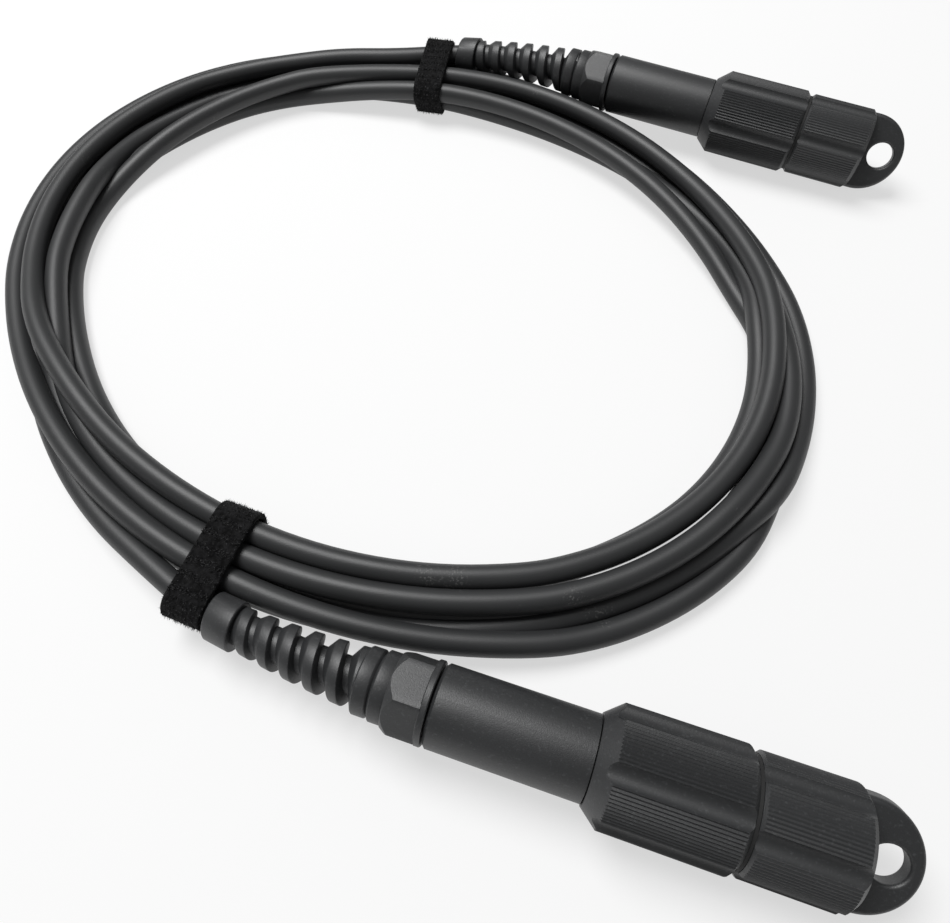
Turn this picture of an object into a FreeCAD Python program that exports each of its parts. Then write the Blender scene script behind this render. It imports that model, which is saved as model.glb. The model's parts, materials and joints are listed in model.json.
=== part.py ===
# Rugged fibre optic cable assembly: a coil of round cable with a sealed, capped connector on each end.
# Millimetres, +Z up. The part lies on Z = 0, with its origin under the middle of its box.
# Each connector is modelled along its own X axis, from the cable (-X) to the cap (+X).
import FreeCAD, Part
import math
import os

from FreeCAD import Placement, Rotation, Vector

# Cable
cable_diameter = 7.0
cable_clearance = 0.1  # radial, in each bore that the jacket passes through

# Coil: the turns lie in an oval bundle, and half sizes are taken at the middle of the bundle
coil_half_length = 132.0
coil_half_width = 105.0
coil_heading = 145.0  # degrees from +X to the long axis
bottom_turns = 4
top_turns = 2
top_first_notch = 0  # the upper turns lie in the notches of the lower ones, from this one outwards
turn_squeeze = 0.4  # the turns press this far into each other, so that the bundle is one solid

# Hook and loop ties round the coil and one lead each
tie_width = 12.0
tie_thickness = 1.6
tie_clearance = 0.3
near_tie_gap = 6.0  # along the coil, from the collar to the tie
far_tie_gap = 7.0

# Where the connectors lie. Each bend relief lies beside the coil, where the coil's outward side faces this
# many degrees from +X: this far out from the middle of the bundle, and this far behind its flange
near_facing = -108.35
near_out = 21.9
near_abreast = 44.9
far_facing = 67.4
far_out = 13.4
far_abreast = 48.0
nut_roll = {"near": 15.0, "far": 15.0}  # degrees that each fluted piece is turned about its axis
cap_roll = {"near": 30.0, "far": 60.0}

# Gland nut with its bend relief, moulded in one
collar_diameter = 12.8
collar_length = 6.3
spiral_length = 35.7
spiral_pitch = 5.9
spiral_core_diameter = 8.8
spiral_end_diameter = 15.6
spiral_groove_floor = 1.2
spiral_front_flank = 0.5  # axial run of the flank that faces the cap
spiral_rear_flank = 2.0  # axial run of the flank that faces the cable
band_diameter = 16.0
band_length = 6.8
band_groove = 0.7
hex_across_flats = 18.6
hex_length = 9.0
hex_chamfer = 1.6
gland_flange_diameter = 20.7
gland_flange_length = 1.2
edge_break = 0.5

# Barrel, turned from one piece
barrel_diameter = 20.4
barrel_length = 38.0
barrel_gap = 0.5  # line of shadow between the gland nut and the barrel
barrel_chamfer = 0.7
spigot_diameter = 14.0  # screws into the gland nut
spigot_length = 8.5
thread_clearance = 0.15  # radial
journal_diameter = 17.6  # the coupling nut turns on it
nose_diameter = 16.0
nose_length = 31.5
fibre_passage_diameter = 6.0

# Sealing and clamping of the cable
seal_diameter = 11.0
seal_clearance = 0.05
crimp_setback = 3.0  # from the barrel's rear face
crimp_wall = 0.9
crimp_length = 14.0
crimp_pocket_clearance = 0.3

# Insert, ferrules and buffered fibres
insert_diameter = 12.8
insert_length = 13.0
insert_recess = 5.0  # from the front of the nose back to the insert
insert_clearance = 0.1
ferrule_diameter = 2.5
ferrule_spacing = 4.2
ferrule_reach = 3.0  # ahead of the insert
fibre_diameter = 0.9

# Coupling nut
nut_diameter = 28.6
nut_length = 34.0
nut_cone_length = 4.4
nut_rear_diameter = 21.4
nut_rear_gap = 0.3
nut_lip_length = 5.5
nut_edge = 1.2
running_fit = 0.3  # radial
socket_diameter = 23.8
ring_diameter = 21.2
ring_length = 1.3
ring_groove_depth = 0.8
ring_play = 0.3
ring_shoulder = 1.2  # length of the journal ahead of the ring

# Grip of the coupling nut and the cap
grip_lands = 6
flute_share = 1.0 / 3.0  # of each sixth of the girth
flute_depth = 1.5
ribs_per_land = 10
rib_depth = 0.35
cap_rib_depth = 0.2

# Protective cap with its eyelet
cap_diameter = 27.6
cap_length = 23.4
cap_gap = 1.0  # taken up by the cap's gasket
cap_rear_edge = 0.8
cap_front_edge = 1.4
cap_spigot_diameter = 23.2
cap_spigot_length = 13.0
cap_bore_diameter = 17.2
cap_end_wall = 14.0
gasket_diameter = 25.8
gasket_play = 0.1
gasket_fit = 0.3  # radial, round the cap's spigot
eyelet_width = 26.0
eyelet_length = 14.4
eyelet_thickness = 5.0
eyelet_edge = 1.2
eyelet_hole_diameter = 8.8
eyelet_hole_edge = 0.9
eyelet_hole_setback = 7.0  # from the cap's end face to the middle of the hole

# Points of each lead after the collar, to where it runs into the bundle: the coil's facing, out and up
near_route = [(-123.0, 20.0, 10.5), (-130.0, 14.8, 6.8), (-137.5, 11.4, 5.6), (-146.0, 7.4, 5.0)]
far_route = [(81.5, 13.2, 15.6), (89.5, 9.8, 13.0), (98.0, 6.9, 10.8), (107.0, 3.6, 9.0), (116.0, 0.0, 7.3)]
lead_straight = 10.0  # from the collar to the first corner
arc_share = 0.45  # of the shorter run that each bend takes up
path_step = 1.0  # spacing of the points where a tie looks for its lead
flat_corner = 0.01  # a tie's outline leaves out corners that bend less than this, in square millimetres
places = {"near": (near_facing, near_out, near_abreast, near_tie_gap, near_route),
          "far": (far_facing, far_out, far_abreast, far_tie_gap, far_route)}
along = {"near": 1, "far": -1}  # the way that the connector points along the coil: 1 is anticlockwise

overshoot = 1.0  # cutters and joined pieces reach this far past the face that they meet

# Stations along a connector's axis
flange_rear = -gland_flange_length
hex_rear = flange_rear - hex_length
band_rear = hex_rear - band_length
spiral_rear = band_rear - spiral_length
collar_rear = spiral_rear - collar_length
spigot_rear = barrel_gap - spigot_length
barrel_front = barrel_gap + barrel_length
nose_front = barrel_front + nose_length
nut_rear = barrel_front + nut_rear_gap
lip_front = nut_rear + nut_lip_length
ring_rear = lip_front + ring_play
ring_front = ring_rear + ring_length
journal_front = ring_front + ring_shoulder
nut_front = nut_rear + nut_length
cap_rear = nut_front + cap_gap
cap_front = cap_rear + cap_length
cap_spigot_rear = cap_rear - cap_spigot_length
crimp_rear = barrel_gap + crimp_setback
cable_end = crimp_rear + crimp_length
insert_front = nose_front - insert_recess
insert_rear = insert_front - insert_length
ferrule_front = insert_front + ferrule_reach

cable_radius = cable_diameter / 2
bore_radius = cable_radius + cable_clearance
axis_x = Vector(1, 0, 0)
axis_y = Vector(0, 1, 0)
axis_z = Vector(0, 0, 1)


def turned(profile):
    """Solid of revolution about X from (station, radius) points."""
    points = [Vector(station, 0, radius) for station, radius in profile]
    face = Part.Face(Part.makePolygon(points + points[:1]))
    return face.revolve(Vector(0, 0, 0), axis_x, 360)


def rod(start, end, radius):
    return Part.makeCylinder(radius, end - start, Vector(start, 0, 0), axis_x)


def sleeve(start, end, outer, inner):
    return turned([(start, inner), (start, outer), (end, outer), (end, inner)])


def polar(radius, degrees):
    """Point of a cross-section: degrees from straight up towards -Y."""
    angle = math.radians(degrees)
    return Vector(0, -radius * math.sin(angle), radius * math.cos(angle))


def grip_section(radius, depth):
    """Face of the grip's cross-section: smooth flutes between lands with ribs of this depth."""
    pitch = 360.0 / grip_lands
    half_flute = pitch * flute_share / 2
    edges = []
    for land in range(grip_lands):
        middle = land * pitch
        start = polar(radius, middle - half_flute)
        end = polar(radius, middle + half_flute)
        edges.append(Part.Arc(start, polar(radius - flute_depth, middle), end).toShape())
        land_start = middle + half_flute
        land_width = pitch - 2 * half_flute
        land_end = polar(radius, land_start + land_width)
        step = land_width / (ribs_per_land + 1)
        outline = [end]
        for rib in range(ribs_per_land):
            crest = land_start + (rib + 1) * step
            outline.append(polar(radius - depth, crest - step / 2))
            outline.append(polar(radius, crest))
        outline.append(polar(radius - depth, land_start + land_width - step / 2))
        outline.append(land_end)
        edges += [Part.LineSegment(a, b).toShape() for a, b in zip(outline, outline[1:])]
    return Part.Face(Part.Wire(edges))


def gland_nut():
    collar = collar_diameter / 2
    band = band_diameter / 2
    band_middle = (band_rear + hex_rear) / 2
    half_groove = band_groove / 2
    flange = gland_flange_diameter / 2
    tail = turned([
        (collar_rear, bore_radius), (collar_rear, collar - edge_break),
        (collar_rear + edge_break, collar), (spiral_rear, collar), (spiral_rear, bore_radius)])
    head = turned([
        (band_rear, bore_radius), (band_rear, band), (band_middle - half_groove, band),
        (band_middle, band - band_groove), (band_middle + half_groove, band),
        (flange_rear, band), (flange_rear, flange), (0, flange), (0, bore_radius)])
    head = head.fuse(hexagon())
    head = head.cut(rod(spigot_rear - thread_clearance, overshoot, spigot_diameter / 2 + thread_clearance))
    relief = turned([
        (spiral_rear, bore_radius), (spiral_rear, collar),
        (band_rear, spiral_end_diameter / 2), (band_rear, bore_radius)])
    return relief.cut(spiral_groove()).fuse([tail, head])


def hexagon():
    corner = hex_across_flats / math.sqrt(3)
    outline = [polar(corner, 60 * side) + Vector(hex_rear, 0, 0) for side in range(7)]
    prism = Part.Face(Part.makePolygon(outline)).extrude(Vector(hex_length, 0, 0))
    chamfered = turned([
        (hex_rear, bore_radius), (hex_rear, hex_across_flats / 2 - edge_break),
        (hex_rear + hex_chamfer, corner), (flange_rear, corner), (flange_rear, bore_radius)])
    return prism.common(chamfered)


def spiral_groove():
    """Helical cut that leaves the lands of the bend relief standing on its core."""
    core = spiral_core_diameter / 2
    rim = spiral_end_diameter / 2 + edge_break
    half_floor = spiral_groove_floor / 2
    rise = (rim - core) / (spiral_end_diameter / 2 - core)
    outline = [Vector(core, 0, -half_floor), Vector(core, 0, half_floor),
               Vector(rim, 0, half_floor + rise * spiral_rear_flank),
               Vector(rim, 0, -half_floor - rise * spiral_front_flank)]
    profile = Part.makePolygon(outline + outline[:1])
    margin = half_floor + spiral_rear_flank
    helix = Part.makeHelix(spiral_pitch, spiral_length - 2 * margin, core)
    pipe = Part.BRepOffsetAPI.MakePipeShell(Part.Wire(helix.Edges))
    pipe.setFrenetMode(True)
    pipe.add(profile)
    pipe.build()
    pipe.makeSolid()
    groove = pipe.shape()
    groove.rotate(Vector(0, 0, 0), Vector(0, 1, 0), 90)
    groove.translate(Vector(spiral_rear + margin, 0, 0))
    return groove


def barrel():
    spigot = spigot_diameter / 2
    outer = barrel_diameter / 2
    journal = journal_diameter / 2
    nose = nose_diameter / 2
    groove = journal - ring_groove_depth
    seat = seal_diameter / 2 + seal_clearance
    pocket = cable_radius + crimp_wall + crimp_pocket_clearance
    passage = fibre_passage_diameter / 2
    front_bore = insert_diameter / 2 + insert_clearance
    return turned([
        (spigot_rear, seat), (spigot_rear, spigot), (barrel_gap, spigot),
        (barrel_gap, outer - barrel_chamfer), (barrel_gap + barrel_chamfer, outer),
        (barrel_front, outer), (barrel_front, journal), (ring_rear, journal), (ring_rear, groove),
        (ring_front, groove), (ring_front, journal), (journal_front, journal), (journal_front, nose),
        (nose_front, nose), (nose_front, front_bore), (insert_rear, front_bore),
        (insert_rear, passage), (cable_end, passage), (cable_end, pocket),
        (barrel_gap, pocket), (barrel_gap, seat)])


def gland_seal():
    return sleeve(spigot_rear, barrel_gap, seal_diameter / 2, bore_radius)


def crimp_sleeve():
    return sleeve(crimp_rear, cable_end, cable_radius + crimp_wall + cable_clearance, bore_radius)


def pair_of_rods(start, end, radius):
    rods = [rod(start, end, radius) for side in range(2)]
    rods[0].translate(Vector(0, ferrule_spacing / 2, 0))
    rods[1].translate(Vector(0, -ferrule_spacing / 2, 0))
    return Part.makeCompound(rods)


def fibres():
    return pair_of_rods(cable_end, insert_rear, fibre_diameter / 2)


def ferrules():
    return pair_of_rods(insert_rear, ferrule_front, ferrule_diameter / 2)


def insert():
    body = rod(insert_rear, insert_front, insert_diameter / 2)
    return body.cut(pair_of_rods(insert_rear, ferrule_front, ferrule_diameter / 2))


def retaining_ring():
    inner = journal_diameter / 2 - ring_groove_depth
    return sleeve(ring_rear, ring_front, ring_diameter / 2, inner)


def coupling_nut():
    outer = nut_diameter / 2
    lip = journal_diameter / 2 + running_fit
    socket = socket_diameter / 2
    blank = turned([
        (nut_rear, lip), (nut_rear, nut_rear_diameter / 2), (nut_rear + nut_cone_length, outer),
        (nut_front - nut_edge, outer), (nut_front, outer - nut_edge), (nut_front, socket),
        (lip_front, socket), (lip_front, lip)])
    grip = grip_section(outer, rib_depth).extrude(Vector(nut_length + 2 * overshoot, 0, 0))
    grip.translate(Vector(nut_rear - overshoot, 0, 0))
    return blank.common(grip)


def gasket():
    inner = cap_spigot_diameter / 2 + gasket_fit
    return sleeve(nut_front + gasket_play, cap_rear - gasket_play, gasket_diameter / 2, inner)


def cap():
    outer = cap_diameter / 2
    shell = turned([
        (cap_rear, 0), (cap_rear, outer - cap_rear_edge), (cap_rear + cap_rear_edge, outer),
        (cap_front - cap_front_edge, outer), (cap_front, outer - cap_front_edge), (cap_front, 0)])
    grip = grip_section(outer, cap_rib_depth).extrude(Vector(cap_length + 2 * overshoot, 0, 0))
    grip.translate(Vector(cap_rear - overshoot, 0, 0))
    spigot = rod(cap_spigot_rear, cap_rear + overshoot, cap_spigot_diameter / 2)
    hollow = rod(cap_spigot_rear - overshoot, cap_front - cap_end_wall, cap_bore_diameter / 2)
    return shell.common(grip).fuse([spigot, eyelet()]).cut(hollow)


def eyelet():
    """Rounded tongue on the cap's end, with a round-edged hole for a lanyard."""
    half = eyelet_width / 2
    root = cap_front - cap_front_edge - overshoot
    bend = cap_front + eyelet_length - half
    corners = [Vector(bend, -half, 0), Vector(root, -half, 0), Vector(root, half, 0), Vector(bend, half, 0)]
    edges = [Part.LineSegment(a, b).toShape() for a, b in zip(corners, corners[1:])]
    tip = Vector(cap_front + eyelet_length, 0, 0)
    edges.append(Part.Arc(corners[3], tip, corners[0]).toShape())
    plate = Part.Face(Part.Wire(edges)).extrude(Vector(0, 0, eyelet_thickness))
    rim = [edge for edge in plate.Edges
           if edge.BoundBox.ZLength < eyelet_edge and edge.BoundBox.XMax > cap_front]
    plate = plate.makeFillet(eyelet_edge, rim)
    plate.translate(Vector(0, 0, -eyelet_thickness / 2))
    centre = Vector(cap_front + eyelet_hole_setback, 0, -eyelet_thickness)
    hole = Part.makeCylinder(eyelet_hole_diameter / 2, 2 * eyelet_thickness, centre)
    plate = plate.cut(hole)
    mouths = [edge for edge in plate.Edges if edge.isClosed()]
    return plate.makeFillet(eyelet_hole_edge, mouths)


def section_centres():
    """Middles of the turns in the bundle's section, outwards and up: the lower row, then the upper one."""
    pitch = cable_diameter - turn_squeeze
    lift = tie_thickness + tie_clearance + cable_radius
    first = -(bottom_turns - 1) / 2 * pitch
    bottom = [(first + turn * pitch, lift) for turn in range(bottom_turns)]
    rise = pitch * math.sqrt(3) / 2
    top = [(first + (top_first_notch + turn + 0.5) * pitch, lift + rise) for turn in range(top_turns)]
    return bottom, top


def outer_corners(points):
    """Corners of the convex polygon round (out, up) points, anticlockwise."""
    ordered = sorted(set(points))
    chains = []
    for row in (ordered, ordered[::-1]):
        chain = []
        for point in row:
            while len(chain) > 1 and left_turn(chain[-2], chain[-1], point) < flat_corner:
                chain.pop()
            chain.append(point)
        chains += chain[:-1]
    return chains


def left_turn(first, second, third):
    """Positive where the walk from the first point to the third bends to the left."""
    return ((second[0] - first[0]) * (third[1] - first[1])
            - (second[1] - first[1]) * (third[0] - first[0]))


def hull_wire(points, radius):
    """Outline stretched round equal circles."""
    corners = [Vector(out, 0, up) for out, up in outer_corners(points)]
    following = corners[1:] + corners[:1]
    normals = []
    for corner, after in zip(corners, following):
        run = after - corner
        normals.append(Vector(run.z, 0, -run.x).normalize())
    edges = []
    for corner, after, normal, turned_to in zip(corners, following, normals, normals[1:] + normals[:1]):
        middle = (normal + turned_to).normalize()
        edges.append(Part.LineSegment(corner + normal * radius, after + normal * radius).toShape())
        edges.append(Part.Arc(after + normal * radius, after + middle * radius,
                              after + turned_to * radius).toShape())
    return Part.Wire(edges)


def coil_arcs():
    """Four tangent arcs of the oval: centre, radius, first facing and last facing, in degrees."""
    diagonal = math.hypot(coil_half_length, coil_half_width)
    excess = coil_half_length - coil_half_width
    end_radius = diagonal / coil_half_length * (diagonal - excess) / 2
    side_radius = diagonal / coil_half_width * (diagonal + excess) / 2
    end_out = coil_half_length - end_radius
    side_back = side_radius - coil_half_width
    join = math.degrees(math.atan2(side_back, end_out))
    arcs = [(Vector(end_out, 0, 0), end_radius, -join, join),
            (Vector(0, -side_back, 0), side_radius, join, 180 - join),
            (Vector(-end_out, 0, 0), end_radius, 180 - join, 180 + join),
            (Vector(0, side_back, 0), side_radius, 180 + join, 360 - join)]
    turn = Rotation(axis_z, coil_heading)
    return [(turn.multVec(centre), radius, first + coil_heading, last + coil_heading)
            for centre, radius, first, last in arcs]


def coil_arc(facing):
    """Centre and radius of the arc where the bundle's outward side faces this way."""
    for centre, radius, first, last in coil_arcs():
        if (facing - first) % 360 <= last - first:
            return centre, radius


def beside_coil(facing, out, up):
    """Point this far out from the middle of the bundle, where its outward side faces this way."""
    centre, radius = coil_arc(facing)
    return centre + Rotation(axis_z, facing).multVec(Vector(radius + out, 0, up))


def bundle_wire(centres, radius):
    """Outline of equal circles that each overlap the next, given anticlockwise."""
    corners = [Vector(out, 0, up) for out, up in centres]
    notches = []
    for this, following in zip(corners, corners[1:] + corners[:1]):
        half = (following - this) / 2
        outward = Vector(half.z, 0, -half.x).normalize()
        notches.append(this + half + outward * math.sqrt(radius ** 2 - half.Length ** 2))
    edges = []
    for index, corner in enumerate(corners):
        first = notches[index - 1] - corner
        last = notches[index] - corner
        begin = math.atan2(first.z, first.x)
        sweep = (math.atan2(last.z, last.x) - begin) % (2 * math.pi)
        crest = begin + sweep / 2
        middle = corner + Vector(radius * math.cos(crest), 0, radius * math.sin(crest))
        edges.append(Part.Arc(notches[index - 1], middle, notches[index]).toShape())
    return Part.Wire(edges)


def cable_coil():
    bottom, top = section_centres()
    right_of_top = bottom[top_first_notch + top_turns:-1]
    left_of_top = bottom[1:top_first_notch + 1]
    outline = bottom + right_of_top[::-1] + top[::-1] + left_of_top[::-1]
    section = Part.Face(bundle_wire(outline, cable_radius))
    spans = []
    for centre, radius, first, last in coil_arcs():
        start = section.copy()
        start.translate(Vector(radius, 0, 0))
        start.rotate(Vector(0, 0, 0), axis_z, first)
        start.translate(centre)
        spans.append(start.revolve(centre, axis_z, last - first))
    return spans[0].fuse(spans[1:]).Solids[0]


def tie_facing(end):
    """Where each tie lies: behind the collar of its connector."""
    facing, out, abreast, gap, route = places[end]
    behind = -collar_rear - abreast + gap + tie_width / 2
    radius = coil_arc(facing)[1]
    return facing - along[end] * math.degrees(behind / (radius + out))


def tie(facing, path):
    """Band round the bundle and the lead that follows this path."""
    middle = beside_coil(facing, 0, 0)
    bottom, top = section_centres()
    inside = bottom + top
    for point in path.discretize(Distance=path_step):
        local = Rotation(axis_z, -facing).multVec(point - middle)
        if abs(local.y) <= tie_width / 2 + path_step and local.x > 0:
            inside.append((local.x, local.z))
    inner = cable_radius + tie_clearance
    outer = Part.Face(hull_wire(inside, inner + tie_thickness))
    band = outer.cut(Part.Face(hull_wire(inside, inner))).extrude(Vector(0, tie_width, 0))
    band.translate(Vector(0, -tie_width / 2, 0))
    band.rotate(Vector(0, 0, 0), axis_z, facing)
    band.translate(middle)
    return band.Solids[0]


def lead_path(route, place):
    """Straight runs and tangent arcs, from inside the connector into the bundle."""
    start = place.multVec(Vector(cable_end, 0, 0))
    leave = place.multVec(Vector(collar_rear - lead_straight, 0, 0))
    points = [start, leave] + [beside_coil(*point) for point in route]
    edges = []
    radii = []
    last = points[0]
    for before, corner, after in zip(points, points[1:], points[2:]):
        back = before - corner
        ahead = after - corner
        half_turn = (math.pi - back.getAngle(ahead)) / 2
        reach = arc_share * min(back.Length, ahead.Length)
        radius = reach / math.tan(half_turn)
        back.normalize()
        ahead.normalize()
        arc_start = corner + back * reach
        arc_end = corner + ahead * reach
        inward = (back + ahead).normalize()
        crest = corner + inward * (radius / math.cos(half_turn) - radius)
        edges.append(Part.LineSegment(last, arc_start).toShape())
        edges.append(Part.Arc(arc_start, crest, arc_end).toShape())
        radii.append(round(radius, 1))
        last = arc_end
    edges.append(Part.LineSegment(last, points[-1]).toShape())
    print("lead bend radii", radii)
    return Part.Wire(edges)


def lead(path, coil):
    """Cable along this path, as far as it shows outside the coil."""
    start = path.Edges[0].Vertexes[0].Point
    heading = path.Edges[0].tangentAt(path.Edges[0].FirstParameter)
    circle = Part.Circle(start, heading, cable_radius).toShape()
    tube = path.makePipeShell([Part.Wire([circle])], True, False)
    share = tube.Volume / (math.pi * cable_radius ** 2 * path.Length)
    print("lead length", round(path.Length, 1), "volume over section times length", round(share, 4))
    return max(tube.cut(coil).Solids, key=lambda solid: solid.Volume)


def connector_place(end):
    """Axis of a connector: the near one lies on its nut, the far one on its nut and its cap."""
    nut_radius = nut_diameter / 2
    land_rest = nut_front - nut_edge
    cap_rest = cap_front - cap_front_edge
    tilt = 0.0
    if end == "far":
        tilt = math.atan2(nut_radius - cap_diameter / 2, cap_rest - land_rest)
    height = nut_radius * math.cos(tilt) + land_rest * math.sin(tilt)
    facing, out, abreast, gap, route = places[end]
    ahead = Rotation(axis_z, facing).multVec(axis_y) * along[end]
    flange = beside_coil(facing, out, height) + ahead * abreast
    return Placement(flange, Rotation(facing + 90 * along[end], math.degrees(tilt), 0))


def connector_pieces(end):
    """Pieces of one connector, each turned about its axis as it lies."""
    pieces = {
        "gland_nut": gland_nut(), "gland_seal": gland_seal(), "barrel": barrel(),
        "crimp_sleeve": crimp_sleeve(), "fibres": fibres(), "insert": insert(),
        "ferrules": ferrules(), "retaining_ring": retaining_ring(), "coupling_nut": coupling_nut(),
        "cap_gasket": gasket(), "cap": cap()}
    pieces["coupling_nut"].rotate(Vector(0, 0, 0), axis_x, nut_roll[end])
    pieces["cap"].rotate(Vector(0, 0, 0), axis_x, cap_roll[end])
    return pieces


def build():
    coil = cable_coil()
    nodes = {"cable_coil": coil}
    for end in places:
        place = connector_place(end)
        path = lead_path(places[end][-1], place)
        nodes["cable_lead_" + end] = lead(path, coil)
        nodes["tie_" + end] = tie(tie_facing(end), path)
        for name, piece in connector_pieces(end).items():
            piece.Placement = place.multiply(piece.Placement)
            nodes[name + "_" + end] = piece
    box = Part.makeCompound(list(nodes.values())).optimalBoundingBox(False, False)
    to_origin = Vector(-box.Center.x, -box.Center.y, 0)
    for node in nodes.values():
        node.translate(to_origin)
    print("coil centre", to_origin)
    return nodes


os.makedirs("parts", exist_ok=True)
for node_name, shape in build().items():
    shape.exportStep("parts/" + node_name + ".step")
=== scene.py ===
import json
import math
import random

import bmesh
import bpy
import numpy as np
from mathutils import Matrix, Vector


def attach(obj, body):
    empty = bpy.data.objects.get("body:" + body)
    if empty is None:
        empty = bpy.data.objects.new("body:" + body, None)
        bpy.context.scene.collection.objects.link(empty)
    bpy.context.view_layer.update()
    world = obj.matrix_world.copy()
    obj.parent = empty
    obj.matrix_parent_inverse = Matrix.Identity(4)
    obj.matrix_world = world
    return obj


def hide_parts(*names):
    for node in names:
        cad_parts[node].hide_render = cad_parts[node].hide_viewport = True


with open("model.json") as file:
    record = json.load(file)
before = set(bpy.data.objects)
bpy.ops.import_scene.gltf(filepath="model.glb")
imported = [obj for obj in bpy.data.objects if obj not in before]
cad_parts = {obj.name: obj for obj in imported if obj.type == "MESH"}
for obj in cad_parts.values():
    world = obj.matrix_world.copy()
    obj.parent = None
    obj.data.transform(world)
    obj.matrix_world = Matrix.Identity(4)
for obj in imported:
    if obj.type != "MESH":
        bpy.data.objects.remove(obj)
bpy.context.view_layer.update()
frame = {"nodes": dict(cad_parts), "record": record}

nodes = frame["nodes"]
scene = bpy.context.scene
scene.view_settings.view_transform = "Standard"

cameraSet = {
    "at": (0.00308, -0.15067, 0.19667),
    "tilt": 29.52,  # degrees up from straight down
    "focal": 740.0, "imageWidth": 950.0,  # both in pixels
    "sensorWidth": 36.0, "clipStart": 0.01,
}


def placeCamera():
    data = bpy.data.cameras.new("camera")
    data.sensor_fit = "HORIZONTAL"
    data.sensor_width = cameraSet["sensorWidth"]
    data.lens = cameraSet["focal"] / cameraSet["imageWidth"] * data.sensor_width
    data.clip_start = cameraSet["clipStart"]
    eye = bpy.data.objects.new("camera", data)
    eye.location = cameraSet["at"]
    eye.rotation_euler = (math.radians(cameraSet["tilt"]), 0, 0)
    scene.collection.objects.link(eye)
    scene.camera = eye
    print("camera placed")


placeCamera()


# a value in a node tree, which can be added and multiplied
class Wire:
    def __init__(self, finish, socket):
        self.finish = finish
        self.socket = socket

    def maths(self, operation, first, second):
        return self.finish.node("ShaderNodeMath", {"operation": operation}, {0: first, 1: second})

    def __add__(self, other):
        return self.maths("ADD", self, other)

    def __radd__(self, other):
        return self.maths("ADD", other, self)

    def __mul__(self, other):
        return self.maths("MULTIPLY", self, other)


# a material or a world and the way to add nodes to it
class Finish:
    def __init__(self, owner):
        owner.use_nodes = True
        self.owner = owner
        self.tree = owner.node_tree
        self.tree.nodes.clear()

    def node(self, kind, settings, sockets, output=0):
        made = self.tree.nodes.new(kind)
        for name, value in settings.items():
            if name == "stops":  # of a colour ramp
                while len(made.color_ramp.elements) < len(value):
                    made.color_ramp.elements.new(0.5)
                for element, (place, level) in zip(made.color_ramp.elements, value):
                    element.position = place
                    element.color = (level, level, level, 1)
            else:
                setattr(made, name, value)
        for name, value in sockets.items():
            if isinstance(value, Wire):
                self.tree.links.new(value.socket, made.inputs[name])
            else:
                made.inputs[name].default_value = value
        return Wire(self, made.outputs[output]) if made.outputs else None

    def objectPlace(self):
        return self.node("ShaderNodeTexCoord", {}, {}, "Object")

    def noise(self, place, scale, detail):
        return self.node("ShaderNodeTexNoise", {}, {"Vector": place, "Scale": scale, "Detail": detail})

    def ramp(self, value, stops):
        return self.node("ShaderNodeValToRGB", {"stops": stops}, {"Fac": value})

    def mixColour(self, share, first, second):
        return self.node("ShaderNodeMix", {"data_type": "RGBA"}, {0: share, 6: first, 7: second}, 2)

    def bump(self, height, strength, distance):
        return self.node("ShaderNodeBump", {}, {"Height": height, "Strength": strength, "Distance": distance})

    def surface(self, sockets):
        shader = self.node("ShaderNodeBsdfPrincipled", {}, sockets)
        self.node("ShaderNodeOutputMaterial", {}, {"Surface": shader})
        return self.owner


# in all finishes: noises have scale and detail, stops have place and level, a bump has strength and distance
jacketSet = {
    "dark": (0.020, 0.0206, 0.0213, 1),
    "pale": (0.033, 0.034, 0.0352, 1),
    "scuff": (0.19, 0.19, 0.185, 1),
    "scuffs": [((-0.0095, -0.0804, 0.013), 0.0045), ((-0.0022, -0.0815, 0.013), 0.005),
               ((0.0282, -0.0869, 0.013), 0.0035)],  # places on the front turns and their reach
    "cloud": (24.0, 3.0), "grain": (2600.0, 2.0), "rub": (60.0, 4.0), "speck": (1500.0, 3.0),
    "rubStops": [(0.66, 0.0), (0.75, 1.0)], "speckStops": [(0.56, 0.0), (0.66, 1.0)],
    "scuffStops": [(0.2, 0.5), (1.0, 0.0)],
    "rubShare": 0.4,
    "rough": 0.40, "cloudRough": 0.12, "scuffRough": 0.2,
    "specular": 0.5,
    "bump": (0.16, 0.0002),
}


def jacketFinish():
    chosen = jacketSet
    finish = Finish(bpy.data.materials.new("jacket"))
    place = finish.objectPlace()
    cloud = finish.noise(place, *chosen["cloud"])
    grain = finish.noise(place, *chosen["grain"])
    rubbed = finish.ramp(finish.noise(place, *chosen["rub"]), chosen["rubStops"])
    specks = finish.ramp(finish.noise(place, *chosen["speck"]), chosen["speckStops"])
    scuff = rubbed * specks * chosen["rubShare"]
    for spot, reach in chosen["scuffs"]:
        away = finish.node("ShaderNodeVectorMath", {"operation": "DISTANCE"}, {0: place, 1: spot}, "Value")
        scuff = scuff + finish.ramp(away * (1 / reach), chosen["scuffStops"]) * specks
    shade = finish.mixColour(cloud, chosen["dark"], chosen["pale"])
    return finish.surface({
        "Base Color": finish.mixColour(scuff, shade, chosen["scuff"]),
        "Roughness": chosen["rough"] + cloud * chosen["cloudRough"] + scuff * chosen["scuffRough"],
        "Specular IOR Level": chosen["specular"],
        "Normal": finish.bump(grain, *chosen["bump"]),
    })


housingSet = {
    "dark": (0.0135, 0.0141, 0.015, 1),
    "pale": (0.026, 0.0272, 0.0288, 1),
    # pale specks painted into the housing's colour: painted glints that stand in for the grain's sparkle in
    # the highlight
    "glintColour": (0.11, 0.115, 0.12, 1),
    "cloud": (38.0, 3.0), "grain": (3000.0, 3.0), "pits": (5200.0, 1.0), "glintSpecks": (1300.0, 4.0),
    "glintStops": [(0.58, 0.0), (0.76, 1.0)], "glintShare": 0.3,
    "rough": 0.38, "grainRough": 0.2,
    "specular": 0.75,
    "grainShare": 0.7, "pitShare": 0.3, "bump": (0.28, 0.0002),
}


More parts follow.
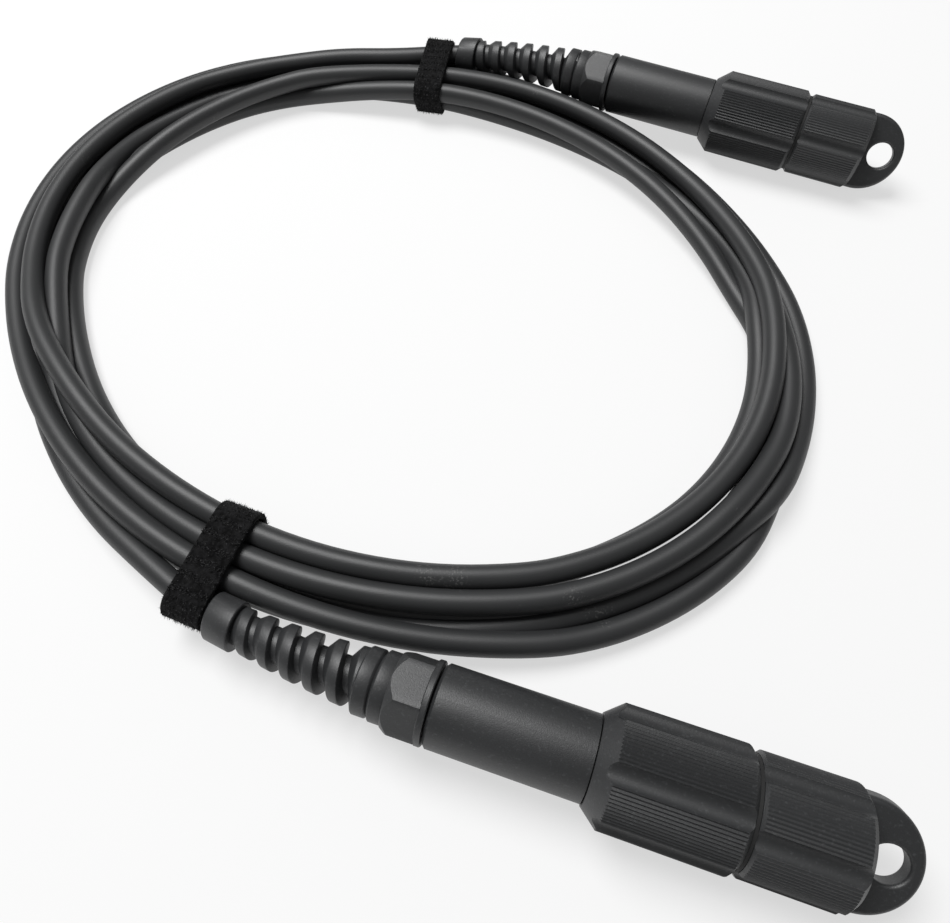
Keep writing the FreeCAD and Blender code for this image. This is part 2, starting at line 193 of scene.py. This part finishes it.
def housingFinish():
    chosen = housingSet
    finish = Finish(bpy.data.materials.new("housing"))
    place = finish.objectPlace()
    cloud = finish.noise(place, *chosen["cloud"])
    grain = finish.noise(place, *chosen["grain"])
    pits = finish.noise(place, *chosen["pits"])
    # painted glints: pale specks in the colour in place of the grain's sparkle
    glintSpecks = finish.ramp(finish.noise(place, *chosen["glintSpecks"]), chosen["glintStops"])
    shade = finish.mixColour(cloud, chosen["dark"], chosen["pale"])
    height = grain * chosen["grainShare"] + pits * chosen["pitShare"]
    return finish.surface({
        "Base Color": finish.mixColour(glintSpecks * chosen["glintShare"], shade, chosen["glintColour"]),
        "Roughness": chosen["rough"] + grain * chosen["grainRough"],
        "Specular IOR Level": chosen["specular"],
        "Normal": finish.bump(height, *chosen["bump"]),
    })


strapSet = {
    "dark": (0.0018, 0.0018, 0.0019, 1),
    "pale": (0.012, 0.012, 0.0125, 1),
    "tufts": (900.0, 3.0), "lumps": (260.0, 2.0),
    "tuftShare": 0.6, "lumpShare": 0.4, "stops": [(0.38, 0.0), (0.62, 1.0)],
    "rough": 0.97, "specular": 0.12,
    "sheen": 0.04, "sheenRough": 0.5,
    "bump": (0.8, 0.0006),
}


def strapFinish():
    chosen = strapSet
    finish = Finish(bpy.data.materials.new("loopPile"))
    place = finish.objectPlace()
    tufts = finish.noise(place, *chosen["tufts"])
    lumps = finish.noise(place, *chosen["lumps"])
    pile = finish.ramp(tufts * chosen["tuftShare"] + lumps * chosen["lumpShare"], chosen["stops"])
    return finish.surface({
        "Base Color": finish.mixColour(pile, chosen["dark"], chosen["pale"]),
        "Roughness": chosen["rough"],
        "Specular IOR Level": chosen["specular"],
        "Sheen Weight": chosen["sheen"],
        "Sheen Roughness": chosen["sheenRough"],
        "Normal": finish.bump(tufts, *chosen["bump"]),
    })


sliverSet = {
    "dark": (0.0022, 0.0022, 0.0023, 1),
    "pale": (0.075, 0.075, 0.077, 1),
    "strands": (1900.0, 2.0), "stops": [(0.40, 0.0), (0.68, 1.0)],
    "rough": 0.75, "strandRough": 0.15,
    "specular": 0.2,
}


def sliverFinish():
    chosen = sliverSet
    finish = Finish(bpy.data.materials.new("pile"))
    strands = finish.ramp(finish.noise(finish.objectPlace(), *chosen["strands"]), chosen["stops"])
    return finish.surface({
        "Base Color": finish.mixColour(strands, chosen["dark"], chosen["pale"]),
        "Roughness": chosen["rough"] + strands * chosen["strandRough"],
        "Specular IOR Level": chosen["specular"],
    })


# hidden pieces: dark and pale shade, roughness, metal share and the grain's scale
innerSet = {
    "seal": {"dark": (0.008, 0.008, 0.008, 1), "pale": (0.016, 0.016, 0.016, 1), "rough": 0.7, "metal": 0.0,
             "grain": 1500.0},
    "metal": {"dark": (0.42, 0.42, 0.43, 1), "pale": (0.58, 0.58, 0.59, 1), "rough": 0.3, "metal": 1.0,
              "grain": 2500.0},
    "buffer": {"dark": (0.62, 0.5, 0.14, 1), "pale": (0.76, 0.64, 0.22, 1), "rough": 0.5, "metal": 0.0,
               "grain": 3000.0},
    "carrier": {"dark": (0.15, 0.15, 0.16, 1), "pale": (0.22, 0.22, 0.23, 1), "rough": 0.5, "metal": 0.0,
                "grain": 1800.0},
    "ferrule": {"dark": (0.8, 0.8, 0.77, 1), "pale": (0.88, 0.88, 0.86, 1), "rough": 0.14, "metal": 0.0,
                "grain": 4000.0},
}
# what the hidden pieces' finishes have in common
innerShared = {"cloud": (90.0, 3.0), "grainDetail": 3.0, "grainRough": 0.12, "bump": (0.1, 0.0002)}


def innerFinish(name):
    chosen = innerSet[name]
    finish = Finish(bpy.data.materials.new(name))
    place = finish.objectPlace()
    grain = finish.noise(place, chosen["grain"], innerShared["grainDetail"])
    cloud = finish.noise(place, *innerShared["cloud"])
    return finish.surface({
        "Base Color": finish.mixColour(cloud, chosen["dark"], chosen["pale"]),
        "Roughness": chosen["rough"] + grain * innerShared["grainRough"],
        "Metallic": chosen["metal"],
        "Normal": finish.bump(grain, *innerShared["bump"]),
    })


finishes = {"jacket": jacketFinish(), "housing": housingFinish(), "strap": strapFinish(),
            "pile": sliverFinish()}
for innerName in innerSet:
    finishes[innerName] = innerFinish(innerName)
print("finishes made:", len(finishes))


# the connectors' axes: flange, direction, the stations where the bend relief starts to sag, where the cable
# starts inside, of the collar and where the cable is clear of it, and how far the collar is off the straight
# axis
connectorSet = {
    "near": {"flange": Vector((-0.0067585, -0.1139285, 0.0143)),
             "axis": Vector((0.9491511, -0.3148209, 0.0)),
             "sagStart": -0.017, "inside": -0.040, "collar": -0.059, "leave": -0.068,
             "sag": Vector((0.0010, 0.0030, -0.0030))},
    "far": {"flange": Vector((0.0570217, 0.1237240, 0.0157760)),
            "axis": Vector((0.9230132, -0.3842133, -0.0206567)),
            "sagStart": -0.017, "inside": -0.040, "collar": -0.059, "leave": -0.066,
            "sag": Vector((-0.0006, -0.0015, -0.0030))},
}

# the coil's oval, and the place of each turn in the bundle, out from the oval and up in millimetres: one row
# for each facing of the coil, in degrees, with the turns in the order along the cable; a bare number is a
# turn that lies hidden on the floor; the routes join the turns to the connectors: facing, out and up
coilSet = {
    "middle": Vector((-0.0229206, 0.0274347, 0.0)),
    "halfLength": 0.132, "halfWidth": 0.105, "heading": 145.0,
    "diameter": 7.0,
    "stations": 36,  # points on each turn
    "start": 244, "turns": 7,  # facing of the first row, and turns in the longest row
    "lanes": {
        244: [(16.3, 8.6), (2.6, 11.3), (9.2, 11.3), 13.2, 6.3, -0.6, (-4.3, 11.3)],
        234: [(14.8, 6.8), (3.2, 9.0), (8.4, 10.0), 11.0, 4.5, -1.8, (-3.8, 12)],
        222: [(11.7, 3.5), (3.2, 7.0), (8.2, 9.5), 7.0, 2.0, (-3.6, 3.5), (-2.3, 13)],
        210: [7.5, (-1.3, 8.5), (8.6, 6.5), 2.5, -0.5, (-5.0, 3.8), (-0.9, 13.5)],
        200: [3.0, (-4.4, 10), (9.8, 4.0), -0.5, -3.5, (-7.4, 3.6), (0.3, 11.4)],
        180: [(-0.6, 3.5), (-8.1, 10.4), (11.7, 3.5), -3.2, -5.9, (-9.1, 3.5), (2.1, 10)],
        165: [(-0.7, 3.5), (-8.2, 10.2), (14.2, 3.5), -4.5, -3.2, (-9.0, 3.6), (3.5, 10)],
        150: [4.5, (-4.6, 6.8), (16.1, 3.5), -6.5, -1.0, (-12.1, 6), (4.4, 10)],
        140: [7.5, (-0.6, 3.8), (16.9, 3.5), (-9.2, 3.5), 3.0, (-14.8, 9), (4.9, 10)],
        122: [8.5, (1.0, 3.5), (17.1, 3.5), (-9.4, 3.5), 4.5, (-12.7, 9), (4.9, 10.2)],
        102: [8.0, 3.5, (15.6, 3.5), (-7.8, 3.5), -1.0, (-8.8, 9.9), (4.9, 10.2)],
        90: [7.0, 0.5, 13.6, (-9.6, 6.4), -5.5, (-7.0, 11), (5.0, 12)],
        80: [5.4, -1.6, 12.4, (-11.2, 9.8), (-8.3, 4.8), (-5.0, 11.6), (8, 12)],
        72: [5.4, -1.6, 12.4, (-10.6, 11.4), (-8.2, 4.8), (0.5, 11.9)],
        60: [7.0, 0.3, 13.6, (-8.1, 10.4), (-6.0, 3.7), (4.2, 11)],
        45: [6.5, 3.0, 12.0, (-7.3, 9.6), -3.5, (4.5, 10.8)],
        30: [4.5, 5.0, (11, 3.5), (-7.4, 8.4), (0, 5.5), (2.4, 11.3)],
        20: [2.5, 5.0, (9.6, 3.5), (-5.5, 5.4), (-1.6, 7.8), (-0.6, 12.5)],
        5: [(0, 9), 4.0, (8.6, 3.5), (-5.3, 3.5), (-5.4, 7.8), (-3.6, 13.2)],
        -10: [(0.6, 9.8), 3.5, (7.6, 3.5), -3.0, (-7.5, 7), (-5.2, 12.8)],
        -25: [(1.5, 10), 4.0, (6.7, 4.3), -1.0, (-8.5, 5), (-6.1, 11.2)],
        -40: [(1.4, 11), (6.6, 3.5), (5.2, 7), -0.4, (-9.8, 3.5), (-7.5, 10)],
        -60: [(-0.1, 10.2), (8.2, 3.5), (4.2, 5.0), 0.0, (-10.8, 3.5), (-8.6, 9.6)],
        -78: [(-0.2, 9.8), (9.4, 3.8), (4.4, 4.0), 0.8, -10.8, (-8.0, 9.7)],
        -94: [(0.9, 10.2), (10.4, 6.5), 7.0, 2.0, -5.5, (-5.9, 9.9)],
    },
    "firm": 0.4, "slack": 0.04,  # how hard seen and hidden turns hold their place
    "settles": 300, "ease": 0.15,  # rounds of settling, and how much each evens out the turns
    "wholeTurns": 6, "routeGap": 6,  # turns between the routes' ends, and degrees from a route to the turns
    "curveSteps": 6, "roundSteps": 7,
    "nearRoute": [(-123.0, 15.4, 8.0), (-130.0, 14.2, 5.8), (-137.5, 12.4, 3.8), (-146.0, 9.8, 3.6)],
    "farRoute": [(81.5, 6.2, 12.0), (89.5, 5.8, 11.4), (98.0, 5.0, 10.3), (107.0, 4.8, 10.1),
                 (116.0, 5.0, 10.0)],
    "length": 4.98,
}
cableRadius = coilSet["diameter"] / 2000  # metres

# the straps: facing and turn in degrees, width, and the seed of the pile; then their thickness and slack, how
# many millimetres they lift the lowest turns and over how many degrees, which strands they take in, how they
# are joined and divided, and their rounded rim
tieSet = {
    "near": {"facing": -116.70, "turn": 5.0, "width": 0.0115, "seed": 11},
    "far": {"facing": 75.46, "turn": 3.5, "width": 0.0106, "seed": 12},
    "thickness": 0.0014, "slack": 0.0002,
    "lift": 2.0, "liftSpread": 12.0,
    "margin": 0.001, "inmost": -0.04,
    "circle": 24, "endFacing": 0.9, "joinAngle": 0.2, "joinShape": 3.14,
    "cutsAcross": 9, "longRun": 0.002, "cutsAlong": 5,
    "rim": 0.0004, "rimSegments": 3, "rimAngle": 50.0,
}


# point out from the oval where its outward side faces this way, in metres
def besideOval(facing, out, up):
    long, wide = coilSet["halfLength"], coilSet["halfWidth"]
    diagonal, excess = math.hypot(long, wide), long - wide
    endRadius = diagonal / long * (diagonal - excess) / 2
    sideRadius = diagonal / wide * (diagonal + excess) / 2
    endOut, sideBack = long - endRadius, sideRadius - wide
    corner = math.degrees(math.atan2(sideBack, endOut))
    turn = (facing - coilSet["heading"] + corner) % 360 - corner
    if turn <= corner:
        centre, radius = Vector((endOut, 0, 0)), endRadius
    elif turn <= 180 - corner:
        centre, radius = Vector((0, -sideBack, 0)), sideRadius
    elif turn <= 180 + corner:
        centre, radius = Vector((-endOut, 0, 0)), endRadius
    else:
        centre, radius = Vector((0, sideBack, 0)), sideRadius
    angle = math.radians(turn)
    spot = centre + Vector((math.cos(angle), math.sin(angle), 0)) * (radius + out)
    spot.rotate(Matrix.Rotation(math.radians(coilSet["heading"]), 3, "Z"))
    return coilSet["middle"] + spot + Vector((0, 0, up))


# how far the straps lift the lowest turns off the floor, in millimetres
def strapLift(facing):
    lift = 0.0
    for end in ("near", "far"):
        away = (facing - tieSet[end]["facing"] + 180) % 360 - 180
        lift += tieSet["lift"] * math.exp(-(away / tieSet["liftSpread"]) ** 2)
    return lift


# the turns drawn between the lanes, then those that are seen pushed apart until they lie beside and on
# each other
def layTurns():
    around, start, rest = coilSet["stations"], coilSet["start"], coilSet["diameter"] / 2
    known = []
    for turn in range(coilSet["turns"]):
        for facing, row in coilSet["lanes"].items():
            if turn < len(row):
                hidden = not isinstance(row[turn], tuple)
                spot = (row[turn], rest, coilSet["slack"]) if hidden else (*row[turn], coilSet["firm"])
                known.append((360 * turn + start - facing, *spot))
    known = np.array(known, dtype=float)
    run = np.arange(0, known[-1][0], 360 / around)
    wanted = np.stack([np.interp(run, known[:, 0], known[:, column]) for column in (1, 2)], axis=1)
    hold = np.interp(run, known[:, 0], known[:, 3])[:, None]
    seen = (hold - coilSet["slack"]) / (coilSet["firm"] - coilSet["slack"])
    spots = wanted.copy()
    floor = np.array([rest + strapLift(start - r) for r in run])
    for settle in range(coilSet["settles"]):
        spots += hold * (wanted - spots)
        spots[1:-1] += coilSet["ease"] * ((spots[:-2] + spots[2:]) / 2 - spots[1:-1])
        for turns in range(1, coilSet["turns"]):
            lower, upper = spots[:-around * turns], spots[around * turns:]
            between = upper - lower
            apart = np.maximum(np.hypot(between[:, 0], between[:, 1]), 1e-6)[:, None]
            push = between / apart * np.clip(coilSet["diameter"] - apart, 0, None) / 2
            push *= seen[:-around * turns] * seen[around * turns:]
            lower -= push
            upper += push
        spots[:, 1] = np.maximum(spots[:, 1], floor)
    return [(start - r, out, up) for r, (out, up) in zip(run, spots)]


# point on a connector's axis, which sags behind the bend relief's first turns
def onAxis(end, station):
    chosen = connectorSet[end]
    past = max(chosen["sagStart"] - station, 0) / (chosen["sagStart"] - chosen["collar"])
    return chosen["flange"] + chosen["axis"] * station + chosen["sag"] * past ** 2


def cablePoints():
    near, far = connectorSet["near"], connectorSet["far"]
    points = [onAxis("near", near[place]) for place in ("inside", "collar", "leave")]
    points += [besideOval(facing, out / 1000, up / 1000) for facing, out, up in coilSet["nearRoute"]]
    first = coilSet["nearRoute"][-1][0] + 360 - coilSet["routeGap"]
    last = coilSet["farRoute"][-1][0] - 360 * coilSet["wholeTurns"] + coilSet["routeGap"]
    spare = math.cos(math.pi / coilSet["stations"])  # the spline runs inside its points by this share
    for facing, out, up in layTurns():
        if last <= facing <= first:
            onOval = besideOval(facing, 0, 0)
            reach = (onOval - coilSet["middle"]).length
            outward = (besideOval(facing, reach, 0) - onOval).normalized()
            away = out / 1000 + reach * (1 / spare - 1)
            points.append(onOval + outward * away + Vector((0, 0, up / 1000)))
    points += [besideOval(facing, out / 1000, up / 1000) for facing, out, up in coilSet["farRoute"][::-1]]
    points += [onAxis("far", far[place]) for place in ("leave", "collar", "inside")]
    return points


def makeCable():
    curve = bpy.data.curves.new("cable", "CURVE")
    curve.dimensions = "3D"
    points = cablePoints()
    spline = curve.splines.new("NURBS")
    spline.points.add(len(points) - 1)
    for spot, point in zip(spline.points, points):
        spot.co = (*point, 1)
    spline.order_u = 3
    spline.use_endpoint_u = True
    spline.resolution_u = coilSet["curveSteps"]
    cable = bpy.data.objects.new("cable", curve)
    scene.collection.objects.link(cable)
    bpy.context.view_layer.update()
    line = bpy.data.meshes.new_from_object(cable)
    path = [vertex.co.copy() for vertex in line.vertices]
    bpy.data.meshes.remove(line)
    curve.bevel_depth = cableRadius
    curve.bevel_resolution = coilSet["roundSteps"]
    curve.use_fill_caps = True
    curve.materials.append(finishes["jacket"])
    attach(cable, "cable")
    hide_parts("cable_coil", "cable_lead_near", "cable_lead_far")
    length = sum((after - before).length for before, after in zip(path, path[1:]))
    print("cable laid:", len(points), "points,", round(length, 3), "m")
    return cable, path


cable, cablePath = makeCable()


# a finished shape as a new object
def newPiece(name, shape, material):
    mesh = bpy.data.meshes.new(name)
    shape.to_mesh(mesh)
    shape.free()
    mesh.materials.append(material)
    piece = bpy.data.objects.new(name, mesh)
    scene.collection.objects.link(piece)
    return piece


def smoothFaces(mesh):
    for face in mesh.polygons:
        face.use_smooth = True


# a band wrapped round the strands that pass through it
def makeTie(end):
    chosen = tieSet[end]
    half, strand = chosen["width"] / 2, cableRadius + tieSet["slack"]
    upright = Matrix.Rotation(math.radians(90), 4, "X")
    standing = Matrix.Translation(besideOval(chosen["facing"], 0, 0)) @ Matrix.Rotation(
        math.radians(chosen["facing"] + chosen["turn"]), 4, "Z")
    back = standing.inverted()
    wire = bmesh.new()
    for point in cablePath:
        local = back @ point
        if abs(local.y) < half + tieSet["margin"] and local.x > tieSet["inmost"]:
            for side in (-half, half):
                spot = Matrix.Translation((local.x, side, local.z)) @ upright
                bmesh.ops.create_circle(wire, segments=tieSet["circle"], radius=strand, matrix=spot)
    hull = bmesh.ops.convex_hull(wire, input=wire.verts)
    inner = {g for g in hull["geom_interior"] + hull["geom_unused"] if isinstance(g, bmesh.types.BMVert)}
    bmesh.ops.delete(wire, geom=list(inner), context="VERTS")
    ends = [face for face in wire.faces if abs(face.normal.y) > tieSet["endFacing"]]
    bmesh.ops.delete(wire, geom=ends, context="FACES_ONLY")
    bmesh.ops.delete(wire, geom=[edge for edge in wire.edges if not edge.link_faces], context="EDGES")
    bmesh.ops.join_triangles(wire, faces=wire.faces, angle_face_threshold=tieSet["joinAngle"],
                             angle_shape_threshold=tieSet["joinShape"])
    across = [edge for edge in wire.edges if abs(edge.verts[0].co.y - edge.verts[1].co.y) > half]
    bmesh.ops.subdivide_edges(wire, edges=across, cuts=tieSet["cutsAcross"], use_grid_fill=True)
    longRuns = [edge for edge in wire.edges if edge.calc_length() > tieSet["longRun"]]
    bmesh.ops.subdivide_edges(wire, edges=longRuns, cuts=tieSet["cutsAlong"], use_grid_fill=True)
    bmesh.ops.recalc_face_normals(wire, faces=wire.faces)
    bmesh.ops.transform(wire, matrix=standing, verts=wire.verts)
    tie = newPiece("strap_" + end, wire, finishes["strap"])
    smoothFaces(tie.data)
    solid = tie.modifiers.new("thickness", "SOLIDIFY")
    solid.thickness = tieSet["thickness"]
    solid.offset = 1.0
    rim = tie.modifiers.new("rim", "BEVEL")
    rim.width = tieSet["rim"]
    rim.segments = tieSet["rimSegments"]
    rim.limit_method = "ANGLE"
    rim.angle_limit = math.radians(tieSet["rimAngle"])
    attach(tie, "cable")
    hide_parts("tie_" + end)
    print("strap", end, "made:", len(tie.data.polygons), "faces")
    return tie


ties = {end: makeTie(end) for end in ("near", "far")}


# the slivers: how many on a strap, how far their feet keep from a face's edges and are sunk in it, half their
# width, their length, how much they stand up and lean, and how far they stay off the floor
pileSet = {
    "count": 5200, "inset": 0.02, "sunk": 0.0001,
    "halfWidth": (0.00007, 0.00015), "length": (0.0005, 0.0012),
    "stand": (0.35, 1.0), "lean": 0.7,
    "clear": 0.0003,
}


# the straps' fuzzy pile: thin slivers that stand up and lean in all directions
def makePile(end):
    base = ties[end].data
    chance = random.Random(tieSet[end]["seed"])
    shape = bmesh.new()
    faces = chance.choices(base.polygons, [face.area for face in base.polygons], k=pileSet["count"])
    for face in faces:
        corners = [base.vertices[index].co for index in face.vertices]
        shares = [chance.random() + pileSet["inset"] for corner in corners]
        foot = sum((corner * share for corner, share in zip(corners, shares)), Vector()) / sum(shares)
        foot += face.normal * (tieSet["thickness"] - pileSet["sunk"])
        lean = Vector([chance.uniform(-1, 1) for side in range(3)])
        wide = face.normal.cross(lean).normalized() * chance.uniform(*pileSet["halfWidth"])
        rise = face.normal * chance.uniform(*pileSet["stand"]) + lean * pileSet["lean"]
        tip = foot + rise.normalized() * chance.uniform(*pileSet["length"])
        if min(foot.z, tip.z) > pileSet["clear"]:
            shape.faces.new([shape.verts.new(spot) for spot in (foot - wide, foot + wide, tip)])
    pile = newPiece("pile_" + end, shape, finishes["pile"])
    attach(pile, "cable")
    print("pile", end, "made:", len(pile.data.polygons), "slivers")
    return pile


piles = [makePile(end) for end in ("near", "far")]


# the gland nuts, in millimetres along the axis and out from it: hexagon's turn in degrees, station of the
# spiral's land at the top, and both ends of the collar; then the outlines that are the same on both
glandSet = {
    "near": {"roll": 21.0, "landAt": -24.5, "collarRear": -61.9, "collarFront": -53.8},
    "far": {"roll": 0.0, "landAt": -22.3, "collarRear": -64.0, "collarFront": -56.5},
    "steps": 72, "sharp": 30.0,  # steps round, and degrees from which an edge is sharp
    "bore": 3.3, "collar": 6.4, "core": 4.4,
    "collarRearEdge": [(0, -0.7), (0.2, -0.25), (0.6, 0)], "collarFrontEdge": [(-0.25, 0.1), (0, -0.1)],
    "runIn": 3,  # how far the spiral's ends run into the collar and the head
    "pitch": 6.55, "tipRear": 5.55, "tipFront": 7.75,
    "thread": [(-3.4, 0.0), (-1.45, 0.95), (-1.2, 1.0), (1.15, 1.0), (1.3, 0.94), (1.8, 0.0)],
    "head": [(-20.3, 3.3), (-20.3, 4.4), (-18.3, 8.2), (-18.05, 8.4), (-15.1, 8.4), (-14.9, 8.3),
             (-14.4, 7.6), (-13.8, 8.6), (-13.6, 8.75), (-10.6, 8.75), (-10.3, 8.6), (-4.0, 8.6),
             (-4.0, 3.3)],
    "flange": [(-1.7, 3.3), (-1.7, 10.1), (-1.45, 10.35), (-0.25, 10.35), (0.0, 10.1), (0.0, 3.3)],
    "hexRear": -10.4, "hexFront": -1.5, "flat": 9.3, "hexSlope": 0.6,
    "hexColumns": 96, "hexCorner": 0.15,  # how much of each corner is cut off
    "hexEdge": (0.2, 0.12),  # the rear edge, along and in
}


# an outline spun all the way round the axis
def turnedShell(shape, outline):
    corners = [shape.verts.new((station, 0, radius)) for station, radius in outline]
    edges = [shape.edges.new(pair) for pair in zip(corners, corners[1:] + corners[:1])]
    bmesh.ops.spin(shape, geom=corners + edges, cent=(0, 0, 0), axis=(1, 0, 0), angle=2 * math.pi,
                   steps=glandSet["steps"], use_merge=True)


# the spiral: its outline swept round and along, each turn joined to the next
def threadShell(shape, chosen):
    steps, pitch, core = glandSet["steps"], glandSet["pitch"], glandSet["core"]
    headRear = glandSet["head"][2][0]
    first = math.floor((chosen["collarFront"] - glandSet["runIn"] - chosen["landAt"]) / pitch * steps)
    last = math.ceil((headRear + glandSet["runIn"] - chosen["landAt"]) / pitch * steps)
    rows = []
    for step in range(first, last + 1):
        angle = 2 * math.pi * step / steps
        row = []
        for offset, height in glandSet["thread"]:
            station = chosen["landAt"] + pitch * step / steps + offset
            share = (station - chosen["collarFront"]) / (headRear - chosen["collarFront"])
            tip = glandSet["tipRear"] + share * (glandSet["tipFront"] - glandSet["tipRear"])
            radius = core + height * (tip - core)
            row.append(shape.verts.new((station, -radius * math.sin(angle), radius * math.cos(angle))))
        rows.append(row)
    for step, (here, there) in enumerate(zip(rows, rows[1:])):
        for side in range(len(here) - 1):
            shape.faces.new((here[side], there[side], there[side + 1], here[side + 1]))
        if step + 1 + steps < len(rows):
            shape.faces.new((here[-1], there[-1], rows[step + 1 + steps][0], rows[step + steps][0]))


# hexagon with its rear corners turned off, so that each flat ends in an arc
def hexShell(shape, chosen):
    flat, columns = glandSet["flat"], glandSet["hexColumns"]
    edgeAlong, edgeIn = glandSet["hexEdge"]
    widest = flat / math.cos(math.radians(30)) - glandSet["hexCorner"]
    rings = [[], [], []]
    for column in range(columns):
        degrees = 360 * column / columns
        angle = math.radians(degrees + chosen["roll"])
        reach = min(flat / math.cos(math.radians(degrees % 60 - 30)), widest)
        corner = glandSet["hexRear"] + edgeAlong + (reach - flat) / glandSet["hexSlope"]
        for ring, station, radius in zip(rings, (glandSet["hexRear"], corner, glandSet["hexFront"]),
                                         (flat - edgeIn, reach, reach)):
            ring.append(shape.verts.new((station, -radius * math.sin(angle), radius * math.cos(angle))))
    for rear, front in zip(rings, rings[1:]):
        for column in range(columns):
            shape.faces.new((rear[column - 1], rear[column], front[column], front[column - 1]))
    shape.faces.new(rings[0])
    shape.faces.new(rings[-1])


# a gland nut, bent along the axis that sags to where the cable leaves it
def makeGland(end):
    chosen, collar, bore = glandSet[end], glandSet["collar"], glandSet["bore"]
    rear, front = chosen["collarRear"], chosen["collarFront"]
    rearEdge = [(rear + along, collar + out) for along, out in glandSet["collarRearEdge"]]
    frontEdge = [(front + along, collar + out) for along, out in glandSet["collarFrontEdge"]]
    shape = bmesh.new()
    turnedShell(shape, [(rear, bore)] + rearEdge + frontEdge + [(front, bore)])
    turnedShell(shape, glandSet["head"])
    turnedShell(shape, glandSet["flange"])
    hexShell(shape, chosen)
    threadShell(shape, chosen)
    bmesh.ops.recalc_face_normals(shape, faces=shape.faces)
    axis = connectorSet[end]["axis"]
    up = (Vector((0, 0, 1)) - axis * axis.z).normalized()
    left = up.cross(axis)
    for vertex in shape.verts:
        station, aside, above = vertex.co / 1000
        vertex.co = onAxis(end, station) + left * aside + up * above
    gland = newPiece("bentGland_" + end, shape, finishes["housing"])
    smoothFaces(gland.data)
    gland.data.set_sharp_from_angle(angle=math.radians(glandSet["sharp"]))
    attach(gland, "cable")
    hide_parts("gland_nut_" + end)
    print("gland", end, "made:", len(gland.data.polygons), "faces")
    return gland


glands = [makeGland(end) for end in ("near", "far")]


# the CAD pieces get their finishes
for row in frame["record"]["subparts"]:
    piece = nodes[row["node"]]
    piece.data.materials.clear()
    piece.data.materials.append(finishes[row["material_slot"]])
print("CAD pieces finished:", len(nodes))

connectorNodes = [name + "_" + end for end in ("near", "far") for name in
                  ("barrel", "coupling_nut", "cap", "gland_seal", "crimp_sleeve", "cap_gasket")]
[nodes[name] for name in connectorNodes] + list(ties.values()) + piles + glands


stageSet = {
    "white": (1, 1, 1, 1),
    "floorColour": (0.86, 0.86, 0.86, 1), "floorSize": 3.0,
    "floorGlow": 0.62,  # share of the floor that is plain white to the camera
    "worldStrength": 0.22,
    "keyPower": 22.0, "keySize": 0.9, "keyAt": (-0.45, 0.45, 1.3),
}


def makeFloor():
    finish = Finish(bpy.data.materials.new("floor"))
    seen = finish.node("ShaderNodeLightPath", {}, {}, "Is Camera Ray")
    glossy = finish.node("ShaderNodeLightPath", {}, {}, "Is Glossy Ray")
    passing = finish.node("ShaderNodeLightPath", {}, {}, "Is Transmission Ray")
    matt = finish.node("ShaderNodeBsdfDiffuse", {}, {"Color": stageSet["floorColour"]})
    white = finish.node("ShaderNodeEmission", {}, {"Color": stageSet["white"], "Strength": 1.0})
    share = (seen + glossy + passing) * stageSet["floorGlow"]
    mixed = finish.node("ShaderNodeMixShader", {}, {0: share, 1: matt, 2: white})
    finish.node("ShaderNodeOutputMaterial", {}, {"Surface": mixed})
    bare = bmesh.new()
    bmesh.ops.create_grid(bare, x_segments=2, y_segments=2, size=stageSet["floorSize"])
    floor = newPiece("floor", bare, finish.owner)
    print("floor made")


# an even pale room, white to the camera, and one large soft lamp
def makeLight():
    air = Finish(bpy.data.worlds.new("studio"))
    scene.world = air.owner
    room = air.node("ShaderNodeBackground", {},
                    {"Color": stageSet["white"], "Strength": stageSet["worldStrength"]})
    backdrop = air.node("ShaderNodeBackground", {}, {"Color": stageSet["white"], "Strength": 1.0})
    seen = air.node("ShaderNodeLightPath", {}, {}, "Is Camera Ray")
    mixed = air.node("ShaderNodeMixShader", {}, {0: seen, 1: room, 2: backdrop})
    air.node("ShaderNodeOutputWorld", {}, {"Surface": mixed})

    lamp = bpy.data.lights.new("softbox", "AREA")
    lamp.shape = "DISK"
    lamp.size = stageSet["keySize"]
    lamp.energy = stageSet["keyPower"]
    key = bpy.data.objects.new("softbox", lamp)
    key.location = stageSet["keyAt"]
    key.rotation_euler = (-Vector(stageSet["keyAt"])).to_track_quat("-Z", "Y").to_euler()
    scene.collection.objects.link(key)
    print("light set")


makeFloor()
makeLight()
